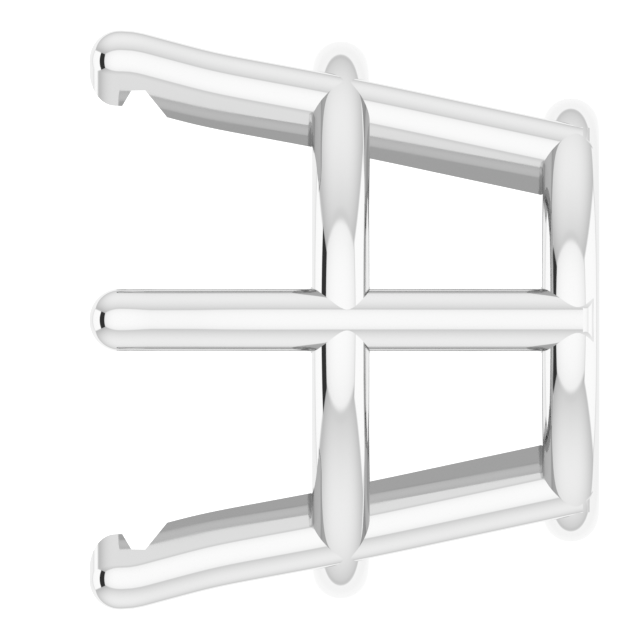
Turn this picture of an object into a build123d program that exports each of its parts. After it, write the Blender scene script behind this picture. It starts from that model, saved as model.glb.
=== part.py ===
from build123d import *
import math
import os

# A basket setting for a round stone, as cast in one piece for a stud earring.
# Six leaning prongs carry the stone, and two round wire rings tie them together.
# Z is the axis of the basket. The lower ring stands on Z = 0 and the prong tips point up.

# Stone and seat, millimetres
stone_diameter = 6.5          # round stone that the seat is cut for
seat_clearance = 0.02         # gap between the girdle and the bottom of the groove
groove_height = 0.16          # straight land that takes the girdle
crown_slope = 28.5            # degrees from level, upper side of the groove
pavilion_slope = 36.1         # degrees from level, lower side of the groove
groove_drop = 0.485           # from the prong tips down to the top of the land

# Prongs
prong_count = 6
setting_height = 5.86         # from the table to the prong tips
nose_radius = 0.358           # round outer side of a prong
prong_width = 0.758           # across the flat inner face
prong_depth = 0.733           # from the round nose to the flat inner face
tip_reach = 3.428             # axis to the centre of the nose, at the tip
foot_reach = 2.110            # the same at the foot
foot_height = 0.075           # the foot ends just above the underside of the lower ring
foot_rounding = 0.12          # outer lower corner of the foot
tip_rounding = 0.275          # inner upper corner of the tip
tip_flat = 0.006              # half of the narrow flat on top of the tip's dome

# The two gallery rings
wire_diameter = 0.67          # round wire of both rings
upper_ring_height = 2.975     # centre of its wire above the table
lower_stand_out = 0.006       # how far the lower ring's wire stands out past the noses
upper_stand_out = 0.018       # the same for the upper ring
ring_set_back = 0.045         # both rings sit a little behind the axis of the prongs

# Shape of a prong: share of its height from foot to tip, and share of the reach gained.
# It bows out a little, straightens, bends out again under the seat and ends upright.
prong_line = [
    (0.112, 0.115),
    (0.303, 0.308),
    (0.473, 0.478),
    (0.600, 0.596),
    (0.727, 0.708),
    (0.833, 0.811),
    (0.880, 0.868),
    (0.951, 0.958),
]
foot_lean = 14.3              # degrees, lean of the prong where it leaves the foot

wire_radius = wire_diameter / 2
half_width = prong_width / 2
groove_radius = stone_diameter / 2 + seat_clearance
cap_height = setting_height - half_width
line_rise = cap_height - foot_height
reach_gain = tip_reach - foot_reach

# The centre line of the nose, in the plane of one prong
line_points = [(foot_reach, foot_height)]
for height_share, reach_share in prong_line:
    line_points.append((foot_reach + reach_gain * reach_share, foot_height + line_rise * height_share))
line_points.append((tip_reach, cap_height))
foot_direction = (math.sin(math.radians(foot_lean)), math.cos(math.radians(foot_lean)))

# The line starts a little below the foot, so that the foot is cut level
foot_spare = 0.25
spare_point = (foot_reach - foot_spare * foot_direction[0], foot_height - foot_spare * foot_direction[1])

with BuildLine(Plane.XZ) as nose_line:
    Line(spare_point, line_points[0])
    Spline(*line_points, tangents=[foot_direction, (0, 1)])
    Line(line_points[-1], (tip_reach, setting_height))

nose_curve = nose_line.edges().sort_by(Axis.Z)[1]


def reach_at(height):
    """Reach of the nose's centre line and its lean there, at a height above the table."""
    low = 0.0
    high = 1.0
    for _ in range(40):
        middle = (low + high) / 2
        if (nose_curve @ middle).Z < height:
            low = middle
        else:
            high = middle
    direction = nose_curve % low
    return (nose_curve @ low).X, math.atan2(direction.X, direction.Z)


def ring_radius(height, stand_out):
    """Radius of a ring whose wire stands out that far past the round noses at that height."""
    reach, lean = reach_at(height)
    return reach + nose_radius / math.cos(lean) + stand_out - wire_radius


# Section of a prong: a round nose whose sides run on, a little apart, to a flat inner face.
# In the sketch +X points outward and the nose's centre is the origin.
inner_face = nose_radius - prong_depth
corner_angle = math.atan2(half_width, -inner_face)
corner_distance = math.hypot(half_width, inner_face)
tangent_angle = math.pi - corner_angle - math.acos(nose_radius / corner_distance)
tangent_point = (nose_radius * math.cos(tangent_angle), nose_radius * math.sin(tangent_angle))

foot_plane = Plane(
    origin=(spare_point[0], 0, spare_point[1]),
    x_dir=(foot_direction[1], 0, -foot_direction[0]),
    z_dir=(foot_direction[0], 0, foot_direction[1]),
)

with BuildPart() as prong:
    # The bar itself
    with BuildSketch(foot_plane) as bar_section:
        with BuildLine() as section_outline:
            ThreePointArc((tangent_point[0], -tangent_point[1]), (nose_radius, 0), tangent_point)
            Polyline(
                tangent_point,
                (inner_face, half_width),
                (inner_face, -half_width),
                (tangent_point[0], -tangent_point[1]),
            )
        make_face()
    sweep(path=nose_line.wires()[0])
    # The tip is domed over the nose and both sides, but not over the inner face
    tip_face = prong.faces().sort_by(Axis.Z)[-1]
    tip_rim = tip_face.edges().sort_by(Axis.X)[1:]
    fillet(tip_rim, radius=nose_radius - tip_flat)
    # Inner upper corner of the tip
    tip_inside = tip_reach + inner_face
    with BuildSketch(Plane.XZ) as tip_corner:
        with Locations((tip_inside, setting_height)):
            Rectangle(2 * tip_rounding, 2 * tip_rounding)
        with Locations((tip_inside + tip_rounding, setting_height - tip_rounding)):
            Circle(tip_rounding, mode=Mode.SUBTRACT)
            Rectangle(2 * tip_rounding, 2 * tip_rounding, align=(Align.MIN, Align.CENTER), mode=Mode.SUBTRACT)
            Rectangle(2 * tip_rounding, 2 * tip_rounding, align=(Align.CENTER, Align.MAX), mode=Mode.SUBTRACT)
    extrude(amount=prong_width, both=True, mode=Mode.SUBTRACT)
    # Level foot
    split(bisect_by=Plane.XY.offset(foot_height), keep=Keep.TOP)
    # Outer lower corner of the foot
    foot_outside = foot_reach + nose_radius / math.cos(math.radians(foot_lean))
    with BuildSketch(Plane.XZ) as foot_corner:
        with Locations((foot_outside, foot_height)):
            Rectangle(2 * foot_rounding, 2 * foot_rounding)
        with Locations((foot_outside - foot_rounding, foot_height + foot_rounding)):
            Circle(foot_rounding, mode=Mode.SUBTRACT)
            Rectangle(2 * foot_rounding, 2 * foot_rounding, align=(Align.MAX, Align.CENTER), mode=Mode.SUBTRACT)
            Rectangle(2 * foot_rounding, 2 * foot_rounding, align=(Align.CENTER, Align.MIN), mode=Mode.SUBTRACT)
    extrude(amount=prong_width, both=True, mode=Mode.SUBTRACT)

# Cutter for the seat: one turn of the groove that takes the girdle
land_top = setting_height - groove_drop
land_bottom = land_top - groove_height
cutter_depth = prong_depth
crown_rise = cutter_depth * math.tan(math.radians(crown_slope))
pavilion_fall = cutter_depth * math.tan(math.radians(pavilion_slope))

with BuildPart() as seat_cutter:
    with BuildSketch(Plane.XZ) as groove:
        with BuildLine() as groove_outline:
            Polyline(
                (groove_radius - cutter_depth, land_bottom - pavilion_fall),
                (groove_radius, land_bottom),
                (groove_radius, land_top),
                (groove_radius - cutter_depth, land_top + crown_rise),
                close=True,
            )
        make_face()
    revolve(axis=Axis.Z)

lower_ring_height = wire_radius
lower_ring_radius = ring_radius(lower_ring_height, lower_stand_out)
upper_ring_radius = ring_radius(upper_ring_height, upper_stand_out)

with BuildPart() as setting:
    with PolarLocations(0, prong_count, start_angle=-90):
        add(prong.part)
    add(seat_cutter.part, mode=Mode.SUBTRACT)
    with Locations((0, ring_set_back, lower_ring_height)):
        Torus(lower_ring_radius, wire_radius)
    with Locations((0, ring_set_back, upper_ring_height)):
        Torus(upper_ring_radius, wire_radius)

setting.part.label = "setting"

os.makedirs("parts", exist_ok=True)
export_step(setting.part, "parts/setting.step")
print("lower ring radius", round(lower_ring_radius, 4))
print("upper ring radius", round(upper_ring_radius, 4))
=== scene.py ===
import math

import bmesh
import bpy
import numpy as np
from mathutils import Matrix, Vector


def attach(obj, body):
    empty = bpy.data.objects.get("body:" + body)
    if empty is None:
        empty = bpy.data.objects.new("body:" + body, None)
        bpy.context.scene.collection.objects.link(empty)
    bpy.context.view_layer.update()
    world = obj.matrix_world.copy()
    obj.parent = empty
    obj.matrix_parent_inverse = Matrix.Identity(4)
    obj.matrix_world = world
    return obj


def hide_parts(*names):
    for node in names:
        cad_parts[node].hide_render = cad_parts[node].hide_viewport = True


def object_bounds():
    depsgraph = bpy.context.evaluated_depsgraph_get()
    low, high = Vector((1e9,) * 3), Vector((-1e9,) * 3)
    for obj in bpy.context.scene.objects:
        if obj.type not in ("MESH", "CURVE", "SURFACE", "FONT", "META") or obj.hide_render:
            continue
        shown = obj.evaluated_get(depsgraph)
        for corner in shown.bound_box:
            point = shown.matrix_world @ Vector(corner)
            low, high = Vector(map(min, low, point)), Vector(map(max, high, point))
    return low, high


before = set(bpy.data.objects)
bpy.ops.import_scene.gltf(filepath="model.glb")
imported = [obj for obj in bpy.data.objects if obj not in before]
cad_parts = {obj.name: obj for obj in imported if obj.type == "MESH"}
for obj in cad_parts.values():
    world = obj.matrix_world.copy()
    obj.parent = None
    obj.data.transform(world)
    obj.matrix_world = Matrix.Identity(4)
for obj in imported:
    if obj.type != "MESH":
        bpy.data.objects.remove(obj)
frame_low, frame_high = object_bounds()
mm = 0.001

# The camera
# It looks at the side of the basket, straight at one prong, in parallel projection, so that
# nothing foreshortens. It lies on its side: the prong tips point to the left of the picture,
# and the basket's axis runs along its middle row.
picture_pixels = 640
pixel = 0.01147 * mm                     # one pixel of the picture, at the basket
table_x = 600                            # pixel column of the face that the basket stands on
camera_distance = 300 * mm

camera_data = bpy.data.cameras.new("side_camera")
camera_data.type = "ORTHO"
camera_data.ortho_scale = picture_pixels * pixel
camera_data.clip_start = 0.05
camera_data.clip_end = 10.0
camera = bpy.data.objects.new("side_camera", camera_data)
bpy.context.scene.collection.objects.link(camera)
centre_height = (table_x - picture_pixels / 2) * pixel
camera.matrix_world = Matrix((
    (0, 1, 0, 0),
    (0, 0, -1, -camera_distance),
    (-1, 0, 0, centre_height),
    (0, 0, 0, 1),
))
bpy.context.scene.camera = camera

# The prongs
# Six bars of white metal, cast in one with the rings. Each has a round outer side, flat flanks
# and a flat inner face, leans outward in a slight S and ends in a domed tip.
setting_height = frame_high.z
nose_radius = 0.358 * mm                 # round outer side
prong_width = 0.758 * mm                 # across the flat inner face
prong_depth = 0.733 * mm                 # from the round side to the inner face
tip_reach = 3.428 * mm                   # axis to the centre of the round side, at the tip
foot_reach = 2.110 * mm                  # the same at the foot
foot_height = 0.075 * mm
foot_lean = math.radians(14.3)
foot_rounding = 0.12 * mm
tip_rounding = 0.275 * mm                # inner upper corner of the tip
tip_flat = 0.006 * mm                    # half of the narrow flat on top of the dome
prong_line = [                           # share of the height, share of the reach gained
    (0.112, 0.115),
    (0.303, 0.308),
    (0.473, 0.478),
    (0.600, 0.596),
    (0.727, 0.708),
    (0.833, 0.811),
    (0.880, 0.868),
    (0.951, 0.958),
]

half_width = prong_width / 2
inner_face = nose_radius - prong_depth
corner_distance = math.hypot(half_width, inner_face)
flank_turn = math.pi - math.atan2(half_width, -inner_face) - math.acos(nose_radius / corner_distance)
cap_height = setting_height - half_width
dome_radius = nose_radius - tip_flat


def smooth_line(knots, start, end):
    """A curve through the knots that leaves and ends in the given directions."""
    knots = np.array(knots, float)
    steps = np.linalg.norm(np.diff(knots, axis=0), axis=1)
    count = len(knots)
    system = np.eye(count)
    wanted = np.zeros((count, 2))
    wanted[0] = start
    wanted[-1] = end
    for i in range(1, count - 1):
        before = steps[i - 1]
        after = steps[i]
        system[i, i - 1] = 1 / before
        system[i, i] = 2 / before + 2 / after
        system[i, i + 1] = 1 / after
        wanted[i] = 3 * (knots[i] - knots[i - 1]) / before**2 + 3 * (knots[i + 1] - knots[i]) / after**2
    slopes = np.linalg.solve(system, wanted)

    def at(share):
        """Point and direction at a share of the curve's length, from 0 to 1."""
        along = share * steps.sum()
        i = min(int(np.searchsorted(np.cumsum(steps), along)), count - 2)
        span = steps[i]
        t = (along - steps[:i].sum()) / span
        start_slope = slopes[i] * span
        end_slope = slopes[i + 1] * span
        rise = knots[i + 1] - knots[i]
        point = knots[i] + t * start_slope + t**2 * (3 * rise - 2 * start_slope - end_slope)
        point = point + t**3 * (start_slope + end_slope - 2 * rise)
        way = start_slope + 2 * t * (3 * rise - 2 * start_slope - end_slope)
        way = way + 3 * t**2 * (start_slope + end_slope - 2 * rise)
        return point, way / np.linalg.norm(way)

    return at


def skin(name, patches, caps=()):
    """A closed mesh from patches of points and normals, rows by columns. Each corner keeps its own
    exact normal in the attribute polish_normal, so that a mirror finish shows no facets."""
    body = bmesh.new()
    polish = body.loops.layers.float_vector.new("polish_normal")
    for points, normals in patches:
        grid = [[body.verts.new(p) for p in row] for row in points]
        for i in range(len(grid) - 1):
            for j in range(len(grid[i]) - 1):
                spots = ((i, j), (i, j + 1), (i + 1, j + 1), (i + 1, j))
                face = body.faces.new([grid[a][b] for a, b in spots])
                for loop, (a, b) in zip(face.loops, spots):
                    loop[polish] = normals[a][b]
    for outline, normal in caps:
        face = body.faces.new([body.verts.new(p) for p in outline])
        for loop in face.loops:
            loop[polish] = normal
    same_place = 1e-6 * mm
    bmesh.ops.remove_doubles(body, verts=body.verts, dist=same_place)
    bmesh.ops.dissolve_degenerate(body, edges=body.edges, dist=same_place)
    bmesh.ops.recalc_face_normals(body, faces=body.faces)
    mesh = bpy.data.meshes.new(name)
    body.to_mesh(mesh)
    body.free()
    mesh.polygons.foreach_set("use_smooth", [True] * len(mesh.polygons))
    made = bpy.data.objects.new(name, mesh)
    bpy.context.scene.collection.objects.link(made)
    return made


foot_way = np.array((math.sin(foot_lean), math.cos(foot_lean)))
line_rise = cap_height - foot_height
reach_gain = tip_reach - foot_reach
knots = [(foot_reach, foot_height)]
for height_share, reach_share in prong_line:
    knots.append((foot_reach + reach_gain * reach_share, foot_height + line_rise * height_share))
knots.append((tip_reach, cap_height))
nose_line = smooth_line(knots, foot_way, (0, 1))

# The rows of the prong from foot to tip: where each lies, which way the prong runs there, how far
# the row is drawn in and how far its normals tilt up
line_rows = 72
dome_rows = 20
foot_spare = 0.25 * mm                   # the file takes this off again
rows = [(np.array(knots[0]) - foot_spare * foot_way, foot_way, 0.0, 0.0)]
for i in range(line_rows + 1):
    place, way = nose_line(i / line_rows)
    rows.append((place, way, 0.0, 0.0))
up = np.array((0.0, 1.0))
for i in range(dome_rows + 1):
    tilt = math.pi / 2 * i / dome_rows
    place = np.array((tip_reach, setting_height - dome_radius + dome_radius * math.sin(tilt)))
    rows.append((place, up, dome_radius * (1 - math.cos(tilt)), tilt))

nose_columns = 40
flank_columns = 3
inner_columns = 4
nose, left_flank, right_flank, inner = ([], []), ([], []), ([], []), ([], [])
for place, way, drawn_in, tilt in rows:
    outward = np.array((way[1], -way[0]))

    def spot(out, side):
        """A point of this row, so far outward and so far to the side."""
        x, z = place + out * outward
        return (x, side, z)

    def facing(out, side):
        """The normal of this row whose level part points that way."""
        x, z = math.cos(tilt) * out * outward + math.sin(tilt) * way
        return (x, math.cos(tilt) * side, z)

    # The inner upper corner of the tip is rounded: the inner face moves outward near the top
    above = max(0.0, place[1] - (setting_height - tip_rounding))
    corner_tilt = math.asin(min(1.0, above / tip_rounding))
    inner_out = inner_face + tip_rounding * (1 - math.cos(corner_tilt))
    radius = nose_radius - drawn_in
    arc = [flank_turn * (2 * k / nose_columns - 1) for k in range(nose_columns + 1)]
    nose[0].append([spot(radius * math.cos(a), radius * math.sin(a)) for a in arc])
    nose[1].append([facing(math.cos(a), math.sin(a)) for a in arc])
    flank_length = (radius * math.cos(flank_turn) - inner_out) / math.sin(flank_turn)
    for flank, side in ((left_flank, 1), (right_flank, -1)):
        steps = [flank_length * k / flank_columns for k in range(flank_columns + 1)]
        flank[0].append([
            spot(
                radius * math.cos(flank_turn) - s * math.sin(flank_turn),
                side * (radius * math.sin(flank_turn) + s * math.cos(flank_turn)),
            )
            for s in steps
        ])
        flank[1].append([facing(math.cos(flank_turn), side * math.sin(flank_turn)) for s in steps])
    reach = radius * math.sin(flank_turn) + flank_length * math.cos(flank_turn)
    across = [reach * (2 * k / inner_columns - 1) for k in range(inner_columns + 1)]
    inner[0].append([spot(inner_out, side) for side in across])
    x, z = -math.cos(corner_tilt) * outward + math.sin(corner_tilt) * way
    inner[1].append([(x, 0, z)] * (inner_columns + 1))


def outline_of(row):
    """All points round one row, once each."""
    return nose[0][row] + left_flank[0][row][1:] + inner[0][row][-2:0:-1] + right_flank[0][row][:0:-1]


prong = skin(
    "prong",
    [nose, left_flank, right_flank, inner],
    [(outline_of(0), (0, 0, -1)), (outline_of(-1), (0, 0, 1))],
)

# The foot of a prong
# It is filed level just above the table, and its outer corner is rounded over. The block below
# is what the file takes away.
foot_outside = foot_reach + nose_radius / math.cos(foot_lean)
file_deep = 1.0 * mm
file_wide = 1.0 * mm
file_steps = 10
file_edge = [(foot_outside - 2 * file_wide, foot_height)]
file_normal = [(0, -1)]
for k in range(file_steps + 1):
    a = math.pi / 2 * k / file_steps
    file_edge.append((
        foot_outside - foot_rounding + foot_rounding * math.sin(a),
        foot_height + foot_rounding - foot_rounding * math.cos(a),
    ))
    file_normal.append((math.sin(a), -math.cos(a)))
file_edge.append((foot_outside + file_wide, foot_height + foot_rounding))
file_normal.append((0, -1))
sides = (-file_wide, file_wide)
file_face = (
    [[(x, y, z) for y in sides] for x, z in file_edge],
    [[(x, 0, z) for y in sides] for x, z in file_normal],
)
far_corners = [(file_edge[-1][0], -file_deep), (file_edge[0][0], -file_deep)]
back_edge = [file_edge[-1], *far_corners, file_edge[0]]
file_back = (
    [[(x, y, z) for y in sides] for x, z in back_edge],
    [[(0, 0, 1) for y in sides] for corner in back_edge],
)
file_outline = file_edge + far_corners
foot_file = skin(
    "foot_file",
    [file_face, file_back],
    [([(x, side, z) for x, z in file_outline], (0, 1, 0)) for side in sides],
)

# The seat groove
# A groove turned into the inner faces of all six prongs at once, where the stone's girdle lies:
# a short upright land between two sloping sides, which follow the crown and the pavilion.
groove_radius = 3.27 * mm
groove_height = 0.16 * mm
groove_drop = 0.485 * mm                 # from the prong tips down to the top of the land
crown_slope = math.radians(28.5)
pavilion_slope = math.radians(36.1)
groove_turns = 360
land_top = setting_height - groove_drop
land_bottom = land_top - groove_height
cutter_inside = groove_radius - prong_depth
cutter_profile = [
    (cutter_inside, land_bottom - prong_depth * math.tan(pavilion_slope)),
    (groove_radius, land_bottom),
    (groove_radius, land_top),
    (cutter_inside, land_top + prong_depth * math.tan(crown_slope)),
]
turned = []
for (r0, z0), (r1, z1) in zip(cutter_profile, cutter_profile[1:] + cutter_profile[:1]):
    length = math.hypot(r1 - r0, z1 - z0)
    level, upward = (z0 - z1) / length, (r1 - r0) / length
    points, normals = [], []
    for k in range(groove_turns + 1):
        a = 2 * math.pi * (k % groove_turns) / groove_turns
        points.append([(r * math.cos(a), r * math.sin(a), z) for r, z in ((r0, z0), (r1, z1))])
        normals.append([(level * math.cos(a), level * math.sin(a), upward)] * 2)
    turned.append((points, normals))
seat_cutter = skin("seat_cutter", turned)

# The two gallery rings
# Round wire bent to a circle and fused to the prongs: the lower one carries the basket on the
# table, the upper one ties the prongs at mid height. Both lie nearly flush with the round prongs.
wire_radius = 0.67 * mm / 2
upper_ring_height = 2.975 * mm
lower_stand_out = 0.006 * mm             # how far the wire stands out past the prongs
upper_stand_out = 0.018 * mm
ring_set_back = 0.045 * mm               # both rings sit a little behind the axis of the prongs
ring_turns = 240
wire_turns = 60
halvings = 40                            # of the search for a height along a prong


def ring_radius(height, stand_out):
    """Radius of the ring whose wire stands out that far past the prongs at that height."""
    low, high = 0.0, 1.0
    for _ in range(halvings):
        middle = (low + high) / 2
        if nose_line(middle)[0][1] < height:
            low = middle
        else:
            high = middle
    place, way = nose_line(low)
    return place[0] + nose_radius / way[1] + stand_out - wire_radius


def wire_ring(name, height, stand_out):
    """A ring of round wire, level at that height."""
    radius = ring_radius(height, stand_out)
    points, normals = [], []
    for i in range(ring_turns + 1):
        a = 2 * math.pi * (i % ring_turns) / ring_turns
        point_row, normal_row = [], []
        for j in range(wire_turns + 1):
            b = 2 * math.pi * (j % wire_turns) / wire_turns
            normal = Vector((math.cos(a) * math.cos(b), math.sin(a) * math.cos(b), math.sin(b)))
            heart = Vector((math.cos(a), math.sin(a), 0)) * radius + Vector((0, ring_set_back, height))
            point_row.append(heart + wire_radius * normal)
            normal_row.append(normal)
        points.append(point_row)
        normals.append(normal_row)
    return skin(name, [(points, normals)])


rings = [
    wire_ring("lower_ring", wire_radius, lower_stand_out),
    wire_ring("upper_ring", upper_ring_height, upper_stand_out),
]

# The polished metal
# White gold with a high polish, a shade darker than silver. Faint swirls from the polishing
# wheel make some spots a little less sharp than others.
metal_grey = 0.52
edge_grey = 0.70                         # tint of what it mirrors at a glancing angle
best_polish = 0.02                       # roughness where the wheel polished best
worst_polish = 0.06
swirl_size = 0.8 * mm
swirl_detail = 3.0
swirl_start = 0.3                        # share of the swirl's own range at which it shows
swirl_stop = 0.7
metal = bpy.data.materials.new("polished_white_metal")
metal.use_nodes = True
nodes = metal.node_tree.nodes
links = metal.node_tree.links
shader = nodes["Principled BSDF"]
shader.inputs["Base Color"].default_value = (metal_grey, metal_grey, metal_grey, 1)
shader.inputs["Metallic"].default_value = 1.0
shader.inputs["Specular Tint"].default_value = (edge_grey, edge_grey, edge_grey, 1)
place_on_piece = nodes.new("ShaderNodeTexCoord")
swirl = nodes.new("ShaderNodeTexNoise")
swirl.inputs["Scale"].default_value = 1 / swirl_size
swirl.inputs["Detail"].default_value = swirl_detail
links.new(place_on_piece.outputs["Object"], swirl.inputs["Vector"])
softness = nodes.new("ShaderNodeMapRange")
softness.inputs["From Min"].default_value = swirl_start
softness.inputs["From Max"].default_value = swirl_stop
softness.inputs["To Min"].default_value = best_polish
softness.inputs["To Max"].default_value = worst_polish
links.new(swirl.outputs["Fac"], softness.inputs["Value"])
links.new(softness.outputs["Result"], shader.inputs["Roughness"])

# The casting
# The seat is turned out of one prong, the prong is set round the axis six times, and both rings
# are fused in, so that the whole basket is one piece of metal with crisp inner corners.
prong_count = 6
first_prong = math.radians(-90)

tree = bpy.data.node_groups.new("basket", "GeometryNodeTree")
tree.is_modifier = True
sockets = {}
for name, kind in (
    ("Prong", "NodeSocketGeometry"),
    ("Foot file", "NodeSocketObject"),
    ("Seat cutter", "NodeSocketObject"),
    ("Lower ring", "NodeSocketObject"),
    ("Upper ring", "NodeSocketObject"),
    ("Prong count", "NodeSocketInt"),
    ("First prong", "NodeSocketFloat"),
    ("Metal", "NodeSocketMaterial"),
):
    sockets[name] = tree.interface.new_socket(name=name, in_out="INPUT", socket_type=kind).identifier
tree.interface.new_socket(name="Casting", in_out="OUTPUT", socket_type="NodeSocketGeometry")


def step(kind, **settings):
    """A node of the tree, with those settings."""
    node = tree.nodes.new(kind)
    for key, value in settings.items():
        setattr(node, key, value)
    return node


def join(source, node, name):
    """Feeds one output into a node's input."""
    tree.links.new(source, node.inputs[name])


given = step("NodeGroupInput")
solids = {}
for name in ("Foot file", "Seat cutter", "Lower ring", "Upper ring"):
    fetch = step("GeometryNodeObjectInfo", transform_space="ORIGINAL")
    join(given.outputs[name], fetch, "Object")
    solids[name] = fetch.outputs["Geometry"]

file_off = step("GeometryNodeMeshBoolean", operation="DIFFERENCE", solver="EXACT")
join(given.outputs["Prong"], file_off, "Mesh 1")
join(solids["Foot file"], file_off, "Mesh 2")
cut_seat = step("GeometryNodeMeshBoolean", operation="DIFFERENCE", solver="EXACT")
join(file_off.outputs["Mesh"], cut_seat, "Mesh 1")
join(solids["Seat cutter"], cut_seat, "Mesh 2")

places = step("GeometryNodePoints")
join(given.outputs["Prong count"], places, "Count")
which = step("GeometryNodeInputIndex")
turn_share = step("ShaderNodeMath", operation="DIVIDE")
join(which.outputs[0], turn_share, 0)
join(given.outputs["Prong count"], turn_share, 1)
turn = step("ShaderNodeMath", operation="MULTIPLY_ADD")
join(turn_share.outputs[0], turn, 0)
turn.inputs[1].default_value = 2 * math.pi
join(given.outputs["First prong"], turn, 2)
rotation = step("ShaderNodeCombineXYZ")
join(turn.outputs[0], rotation, "Z")
note_turn = step("GeometryNodeStoreNamedAttribute", data_type="FLOAT", domain="POINT")
note_turn.inputs["Name"].default_value = "turn"
join(places.outputs[0], note_turn, "Geometry")
join(turn.outputs[0], note_turn, "Value")
set_round = step("GeometryNodeInstanceOnPoints")
join(note_turn.outputs[0], set_round, "Points")
join(cut_seat.outputs["Mesh"], set_round, "Instance")
join(rotation.outputs[0], set_round, "Rotation")
six = step("GeometryNodeRealizeInstances")
join(set_round.outputs[0], six, "Geometry")

turned_by = step("GeometryNodeInputNamedAttribute", data_type="FLOAT")
turned_by.inputs["Name"].default_value = "turn"
old_normal = step("GeometryNodeInputNamedAttribute", data_type="FLOAT_VECTOR")
old_normal.inputs["Name"].default_value = "polish_normal"
new_normal = step("ShaderNodeVectorRotate", rotation_type="Z_AXIS")
join(old_normal.outputs[0], new_normal, "Vector")
join(turned_by.outputs[0], new_normal, "Angle")
turn_normals = step("GeometryNodeStoreNamedAttribute", data_type="FLOAT_VECTOR", domain="CORNER")
turn_normals.inputs["Name"].default_value = "polish_normal"
join(six.outputs[0], turn_normals, "Geometry")
join(new_normal.outputs[0], turn_normals, "Value")

fuse = step("GeometryNodeMeshBoolean", operation="UNION", solver="EXACT")
for solid in (turn_normals.outputs[0], solids["Lower ring"], solids["Upper ring"]):
    join(solid, fuse, "Mesh 2")

whole = step("GeometryNodeRealizeInstances")
join(fuse.outputs["Mesh"], whole, "Geometry")
finish = step("GeometryNodeSetMaterial")
join(whole.outputs[0], finish, "Geometry")
join(given.outputs["Metal"], finish, "Material")
result = step("NodeGroupOutput")
join(finish.outputs[0], result, "Casting")

modifier = prong.modifiers.new("basket", "NODES")
modifier.node_group = tree
modifier[sockets["Foot file"]] = foot_file
modifier[sockets["Seat cutter"]] = seat_cutter
modifier[sockets["Lower ring"]] = rings[0]
modifier[sockets["Upper ring"]] = rings[1]
modifier[sockets["Prong count"]] = prong_count
modifier[sockets["First prong"]] = first_prong
modifier[sockets["Metal"]] = metal
bpy.context.view_layer.update()
made = prong.evaluated_get(bpy.context.evaluated_depsgraph_get())
casting_mesh = bpy.data.meshes.new_from_object(made)
for source in (prong, foot_file, seat_cutter, *rings):
    bpy.data.objects.remove(source)
casting_mesh.name = "basket_setting"
values = np.zeros(len(casting_mesh.loops) * 3, np.float32)
casting_mesh.attributes["polish_normal"].data.foreach_get("vector", values)
normals = values.reshape(-1, 3)
shortest = 1e-9
normals /= np.maximum(np.linalg.norm(normals, axis=1, keepdims=True), shortest)
casting_mesh.polygons.foreach_set("use_smooth", [True] * len(casting_mesh.polygons))
casting_mesh.normals_split_custom_set(normals.tolist())
casting_mesh.attributes.remove(casting_mesh.attributes["polish_normal"])

casting = bpy.data.objects.new("basket_setting", casting_mesh)
bpy.context.scene.collection.objects.link(casting)
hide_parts("setting")
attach(casting, "root")

# The table
# A plain sheet of white acrylic with a painted glow, an emission that lifts the shade so the basket's
# shadow on it stays faint.
# It lies level under the lower ring.
sheet_half = 20 * mm
acrylic_white = 0.737
acrylic_matt = 0.9
acrylic_painted_glow = 0.4
sheet_corners = ((-1, -1), (1, -1), (1, 1), (-1, 1))
table_mesh = bpy.data.meshes.new("table")
table_mesh.from_pydata([(x * sheet_half, y * sheet_half, 0) for x, y in sheet_corners], [], [(0, 1, 2, 3)])
table = bpy.data.objects.new("table", table_mesh)
bpy.context.scene.collection.objects.link(table)
acrylic = bpy.data.materials.new("acrylic_with_painted_glow")
acrylic.use_nodes = True
acrylic_shader = acrylic.node_tree.nodes["Principled BSDF"]
acrylic_shader.inputs["Base Color"].default_value = (acrylic_white, acrylic_white, acrylic_white, 1)
acrylic_shader.inputs["Roughness"].default_value = acrylic_matt
# The emission is painted light: the sheet glows though it is no lamp, filling in the shadow under the
# basket.
acrylic_shader.inputs["Emission Color"].default_value = (1, 1, 1, 1)
acrylic_shader.inputs["Emission Strength"].default_value = acrylic_painted_glow
table_mesh.materials.append(acrylic)
table.visible_glossy = False            # the metal mirrors the tent alone

# The light tent
# A box of soft white cloth round the table, lit from outside: a bright panel before and one behind
# the basket, greyer cloth at the two sides, a bright lid and floor, and one dark slot in the lid.
front_light = 1.60
front_border = 42.5                      # degrees round from the camera, where the front panel ends
front_shift = 2.0                        # it hangs that much to one side
front_lean = 2.5                         # degrees that it is narrower where it meets the ends
front_fall = 0.20                        # light lost from its middle to its border
fall_power = 3.0                         # the loss gathers near the border and near the ends
front_climb_fall = 0.13                  # share lost from mid height to the ends
front_soft_before = 3.0                  # degrees over which the panel gives way to the side
front_soft_after = 1.0
side_light = 1.40
side_middle = 92.0                       # degrees round from the camera, where the side is brightest
side_reach = 50.0                        # degrees from there to its edges
side_fall = 0.33
side_climb_fall = 0.32
back_light = 1.70
back_border = 141.0
back_soft = 4.0
back_middle_light = 1.14                 # straight behind the basket
back_middle_reach = 24.0                 # degrees from there to the brighter cloth
back_climb_fall = 0.20
end_light = 1.61
end_climb = 57.5                         # degrees up or down, where the walls meet the ends
most_climb = 1.2                         # a wall loses at most this times its share
lid_half_width = 0.46                    # reach of lid and floor, as a share of how far off they are
floor_half_width = 0.55
end_front = 0.57
end_back = 0.66
end_soft = 0.02                          # half width of the passage at their edges
least_rise = 0.02                        # a level direction counts as rising this much
slot_light = 0.05
slot_back = 0.135                        # the slot runs from the lid's front edge to here
level_soft = 0.05                        # passage between floor and lid
seam_light = 1.04                        # the seams between the panels
front_seam = 5.0                         # degrees that a seam's shade reaches to each side
back_seam = 4.0
end_seam = 0.05
tent_brightness = 1.154

tent = bpy.data.worlds.new("light_tent")
bpy.context.scene.world = tent
tent.use_nodes = True
tent_tree = tent.node_tree


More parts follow.
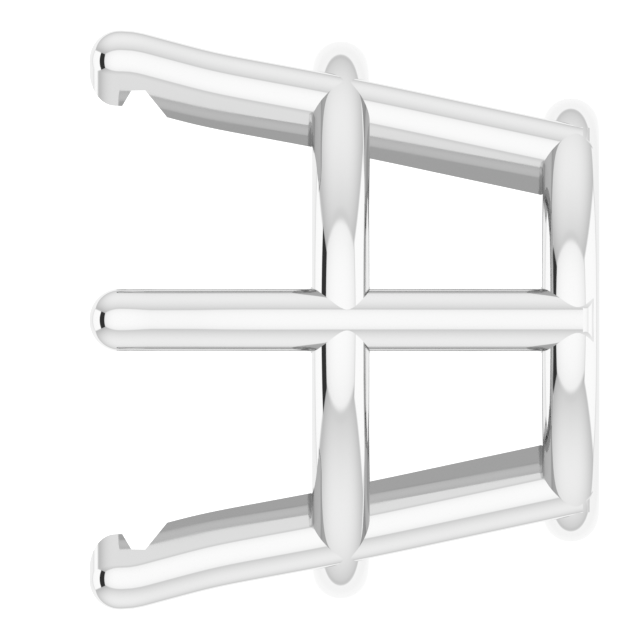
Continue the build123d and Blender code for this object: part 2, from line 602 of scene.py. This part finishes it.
def reckon(operation, *values):
    """One step of arithmetic on the direction of the light."""
    node = tent_tree.nodes.new("ShaderNodeMath")
    node.operation = operation
    for slot, value in zip(node.inputs, values):
        if isinstance(value, (int, float)):
            slot.default_value = value
        else:
            tent_tree.links.new(value, slot)
    return node.outputs[0]


def minus(first, second):
    """The first less the second."""
    return reckon("SUBTRACT", first, second)


def times(first, second):
    """The first times the second."""
    return reckon("MULTIPLY", first, second)


def size_of(value):
    """The value without its sign."""
    return reckon("ABSOLUTE", value)


def between(value, start, stop):
    """0 before start, 1 after stop, with a soft passage."""
    node = tent_tree.nodes.new("ShaderNodeMapRange")
    node.interpolation_type = "SMOOTHSTEP"
    tent_tree.links.new(value, node.inputs["Value"])
    node.inputs["From Min"].default_value = start
    node.inputs["From Max"].default_value = stop
    return node.outputs["Result"]


def blend(share, high, low):
    """high where share is 1, low where it is 0."""
    return reckon("MULTIPLY_ADD", share, minus(high, low), low)


def seam_at(value, border, reach):
    """1 where the value is at the border, 0 from that far off."""
    return minus(1.0, between(size_of(minus(value, border)), 0.0, reach))


direction = tent_tree.nodes.new("ShaderNodeTexCoord").outputs["Generated"]
split = tent_tree.nodes.new("ShaderNodeSeparateXYZ")
tent_tree.links.new(direction, split.inputs[0])
x, y, z = split.outputs
signed_turn = reckon("DEGREES", reckon("ARCTAN2", x, times(y, -1.0)))
round_turn = size_of(signed_turn)
climb = reckon("DEGREES", reckon("ARCSINE", size_of(z)))
climb_share = reckon("MINIMUM", reckon("POWER", reckon("DIVIDE", climb, end_climb), fall_power), most_climb)


def faded(light, fall):
    """The light of a wall that loses this share of it on the way up or down to the ends."""
    return times(light, minus(1.0, times(climb_share, fall)))


# The walls, from the front panel round the sides to the back panel
front_turn = reckon("ADD", size_of(minus(signed_turn, front_shift)), times(climb_share, front_lean))
from_front = reckon("POWER", reckon("DIVIDE", front_turn, front_border), fall_power)
front_wall = faded(minus(front_light, times(front_fall, from_front)), front_climb_fall)
from_side = reckon("DIVIDE", minus(round_turn, side_middle), side_reach)
side_wall = faded(minus(side_light, times(side_fall, times(from_side, from_side))), side_climb_fall)
from_back = reckon("DEGREES", reckon("ARCCOSINE", y))
back_panel = blend(between(from_back, 0.0, back_middle_reach), back_light, back_middle_light)
back_wall = faded(back_panel, back_climb_fall)
past_front_border = between(front_turn, front_border - front_soft_before, front_border + front_soft_after)
past_back_border = between(round_turn, back_border, back_border + back_soft)
wall = blend(past_front_border, blend(past_back_border, back_wall, side_wall), front_wall)

# The lid and the floor, and the slot in the lid
rise = reckon("MAXIMUM", size_of(z), least_rise)
end_side = size_of(reckon("DIVIDE", x, rise))
end_depth = reckon("DIVIDE", y, rise)
upward = between(z, -level_soft, level_soft)
past_side = minus(end_side, blend(upward, lid_half_width, floor_half_width))
past_front = minus(times(end_depth, -1.0), end_front)
past_back = minus(end_depth, end_back)
past_end = reckon("MAXIMUM", past_side, reckon("MAXIMUM", past_front, past_back))
outside_end = between(past_end, -end_soft, end_soft)
behind_slot = between(end_depth, -slot_back - end_soft, -slot_back + end_soft)
in_slot = times(upward, minus(1.0, behind_slot))
light = blend(outside_end, wall, blend(in_slot, slot_light, end_light))

# The seams, where two cloths lie over each other and let less light through
wall_seam = reckon(
    "MAXIMUM", seam_at(front_turn, front_border, front_seam), seam_at(round_turn, back_border, back_seam)
)
seam = reckon("MAXIMUM", seam_at(past_end, 0.0, end_seam), times(outside_end, wall_seam))
light = blend(seam, reckon("MINIMUM", seam_light, light), light)
background = tent_tree.nodes["Background"]
background.inputs["Strength"].default_value = tent_brightness
tent_tree.links.new(light, background.inputs["Color"])
bpy.context.scene.view_settings.view_transform = "Standard"
